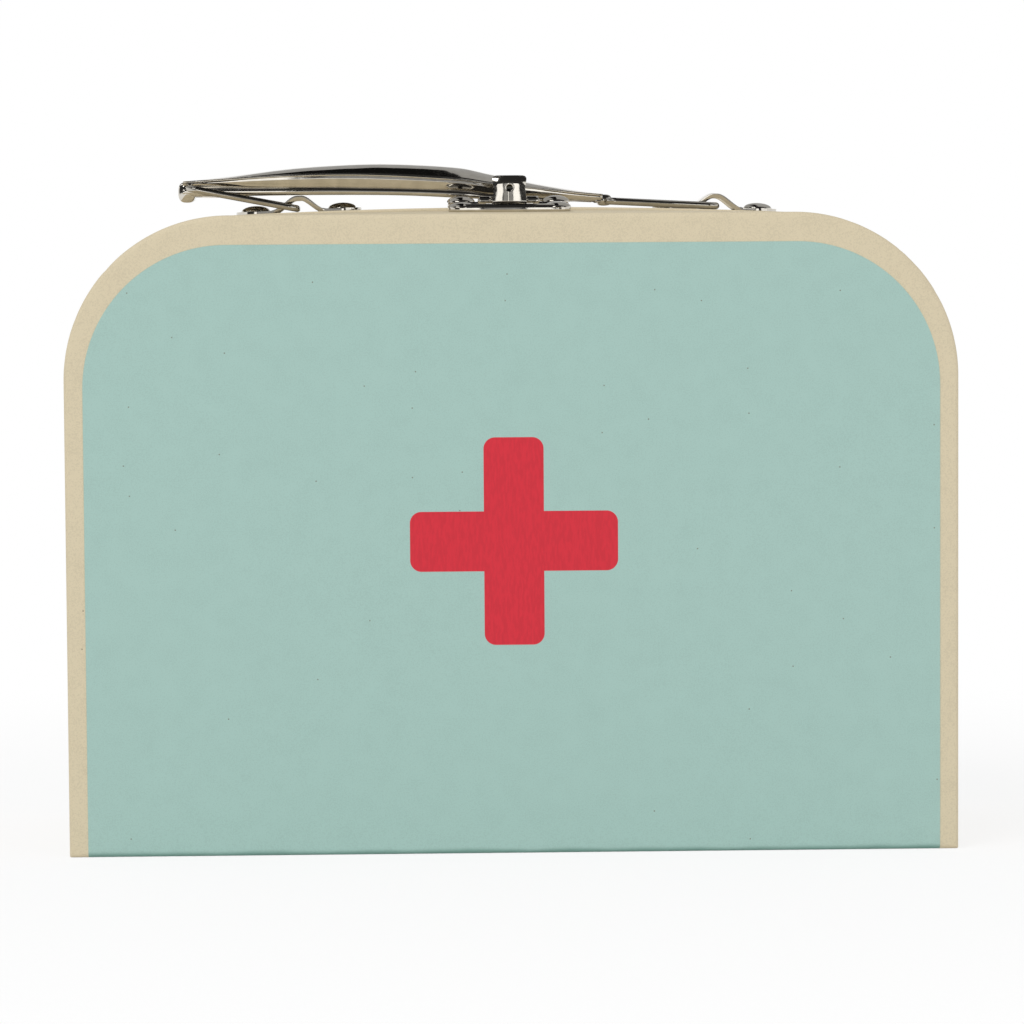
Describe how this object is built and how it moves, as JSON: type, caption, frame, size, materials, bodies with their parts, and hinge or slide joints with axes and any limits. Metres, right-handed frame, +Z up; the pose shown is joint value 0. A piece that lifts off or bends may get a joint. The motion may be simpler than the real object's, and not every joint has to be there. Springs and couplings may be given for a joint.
{
  "type": "toy doctor case",
  "caption": "Small paper-covered cardboard carry case with round top corners, a hinged lid, a latch and a folding metal handle.",
  "frame": {"origin": "middle of the footprint, on the ground, with the case standing on its hinge side", "axes": "+X along the case, to the viewer's right as the lid is faced; +Y from the lid to the base's back; +Z up to the handle"},
  "size_m": [0.25, 0.085, 0.1938],
  "materials": {
    "cream_paper": "matt coated paper, fine grain",
    "mint_paper": "matt printed paper",
    "greyboard": "raw greyboard edge",
    "lining_paper": "plain matt lining paper",
    "hinge_cloth": "woven bookbinder's tape",
    "nickel_plate": "polished nickel plate on stamped steel"
  },
  "bodies": {
    "base": {"base_wall_paper": "cream_paper", "base_back_paper": "mint_paper", "base_bottom_paper": "mint_paper", "base_back_board": "greyboard", "base_bottom_board": "greyboard", "base_wall_board": "greyboard", "base_collar": "greyboard", "base_lining": "lining_paper", "base_hinge_tape": "hinge_cloth", "left_handle_bracket": "nickel_plate", "right_handle_bracket": "nickel_plate", "handle_rivets": "nickel_plate", "handle_rivet_washers": "nickel_plate", "latch_base_plate": "nickel_plate", "latch_base_rivets": "nickel_plate", "latch_base_washers": "nickel_plate", "latch_pin": "nickel_plate"},
    "lid": {"lid_wall_paper": "cream_paper", "lid_front_paper": "mint_paper", "lid_bottom_paper": "mint_paper", "lid_front_board": "greyboard", "lid_bottom_board": "greyboard", "lid_wall_board": "greyboard", "lid_lining": "lining_paper", "lid_hinge_tape": "hinge_cloth", "lid_catch_plate": "nickel_plate", "lid_catch_rivets": "nickel_plate", "lid_catch_washers": "nickel_plate"},
    "hasp": {"hasp_flap": "nickel_plate"},
    "ring_left": {"left_ring": "nickel_plate"},
    "grip": {"handle_grip": "nickel_plate"},
    "ring_right": {"right_ring": "nickel_plate"}
  },
  "joints": [
    {"name": "lid_hinge", "type": "hinge", "parent": "base", "child": "lid", "pos_m": [0, -0.015, 0], "axis": [1, 0, 0], "range_deg": [0, 175]},
    {"name": "hasp_hinge", "type": "hinge", "parent": "base", "child": "hasp", "pos_m": [0, -0.0167, 0.1831], "axis": [-1, 0, 0], "range_deg": [0, 100]},
    {"name": "ring_left_swing", "type": "hinge", "parent": "base", "child": "ring_left", "pos_m": [-0.06006, 0.0035, 0.18183], "axis": [0, 1, 0], "range_deg": [0, 165]},
    {"name": "grip_tilt", "type": "hinge", "parent": "ring_left", "child": "grip", "pos_m": [-0.09099, 0.0035, 0.18662], "axis": [0, 1, 0], "range_deg": [-166.25, 0]},
    {"name": "ring_right_swing", "type": "hinge", "parent": "base", "child": "ring_right", "pos_m": [0.06004, 0.0035, 0.18128], "axis": [0, 1, 0], "range_deg": [0, 168.9]}
  ],
  "couplings": [
    {"joint": "grip_tilt", "follows": "ring_left_swing", "ratio": -1.0076},
    {"joint": "ring_right_swing", "follows": "ring_left_swing", "ratio": 1.0235}
  ]
}
